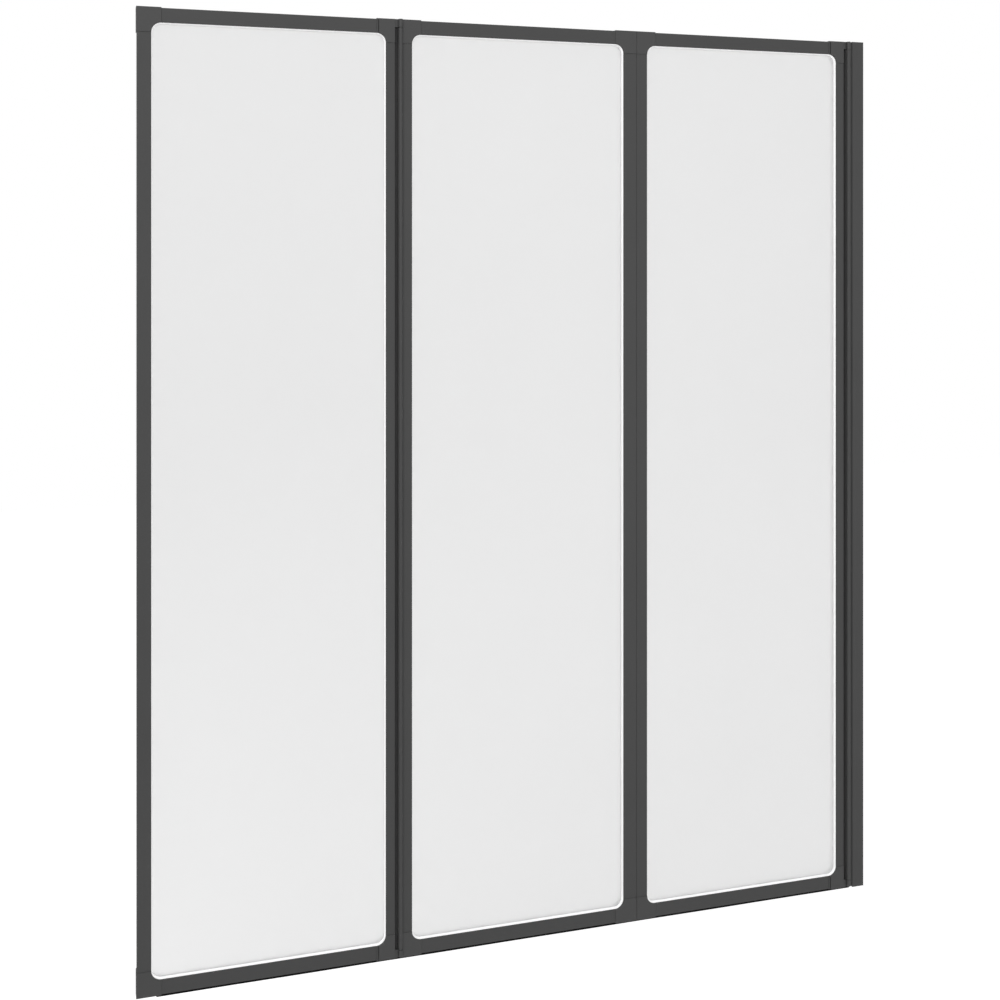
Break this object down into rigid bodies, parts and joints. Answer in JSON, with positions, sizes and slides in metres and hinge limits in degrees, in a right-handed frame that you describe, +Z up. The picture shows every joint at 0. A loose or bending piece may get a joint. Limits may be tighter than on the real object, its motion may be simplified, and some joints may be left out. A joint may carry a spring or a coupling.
{
  "type": "folding shower screen",
  "caption": "Folding bath shower screen: framed frosted panes joined by barrel hinges that fold in a Z against an adjustable wall channel.",
  "frame": {"origin": "on the wall plane, behind the middle of the wall channel, at the middle of the frame's height and of its thickness", "axes": "+X into the wall, +Y away from the side where the wall hinge is, +Z up"},
  "size_m": [1.171, 0.026, 1.4034],
  "materials": {
    "black_frame": "matt powder coat on aluminium profile",
    "black_plastic": "matt moulded",
    "frosted_glass": "frosted",
    "clear_gasket": "translucent soft",
    "black_rubber": "soft matt",
    "stainless_steel": "plain",
    "nylon": "plain, black"
  },
  "bodies": {
    "wall_mount": {"wall_channel": "black_frame", "hinge_post": "black_frame", "channel_top_cap": "black_plastic", "channel_bottom_cap": "black_plastic", "post_top_cap": "black_plastic", "post_bottom_cap": "black_plastic", "clamp_screws": "stainless_steel", "wall_hinge_pins": "stainless_steel"},
    "inner_panel": {"inner_glass": "frosted_glass", "inner_gasket": "clear_gasket", "inner_left_stile": "black_frame", "inner_right_stile": "black_frame", "inner_top_rail": "black_frame", "inner_bottom_rail": "black_frame", "inner_top_left_corner": "black_plastic", "inner_top_right_corner": "black_plastic", "inner_bottom_left_corner": "black_plastic", "inner_bottom_right_corner": "black_plastic", "inner_corner_screws": "stainless_steel", "inner_bottom_seal": "black_rubber", "wall_hinge_bushes": "nylon", "wall_hinge_strip": "black_rubber", "middle_hinge_bushes": "nylon", "middle_hinge_strip": "black_rubber"},
    "middle_panel": {"middle_glass": "frosted_glass", "middle_gasket": "clear_gasket", "middle_left_stile": "black_frame", "middle_right_stile": "black_frame", "middle_top_rail": "black_frame", "middle_bottom_rail": "black_frame", "middle_top_left_corner": "black_plastic", "middle_top_right_corner": "black_plastic", "middle_bottom_left_corner": "black_plastic", "middle_bottom_right_corner": "black_plastic", "middle_corner_screws": "stainless_steel", "middle_bottom_seal": "black_rubber", "middle_hinge_pins": "stainless_steel", "outer_hinge_pins": "stainless_steel"},
    "outer_panel": {"outer_glass": "frosted_glass", "outer_gasket": "clear_gasket", "outer_left_stile": "black_frame", "outer_right_stile": "black_frame", "outer_top_rail": "black_frame", "outer_bottom_rail": "black_frame", "outer_top_left_corner": "black_plastic", "outer_top_right_corner": "black_plastic", "outer_bottom_left_corner": "black_plastic", "outer_bottom_right_corner": "black_plastic", "outer_corner_screws": "stainless_steel", "outer_bottom_seal": "black_rubber", "outer_hinge_bushes": "nylon", "outer_hinge_strip": "black_rubber"}
  },
  "joints": [
    {"name": "wall_hinge", "type": "hinge", "parent": "wall_mount", "child": "inner_panel", "pos_m": [-0.0283, -0.00975, 0], "axis": [0, 0, 1], "range_deg": [0, 90]},
    {"name": "middle_hinge", "type": "hinge", "parent": "inner_panel", "child": "middle_panel", "pos_m": [-0.4114, 0.00975, 0], "axis": [0, 0, 1], "range_deg": [-180, 0]},
    {"name": "outer_hinge", "type": "hinge", "parent": "middle_panel", "child": "outer_panel", "pos_m": [-0.7891, -0.00975, 0], "axis": [0, 0, 1], "range_deg": [0, 180]}
  ]
}
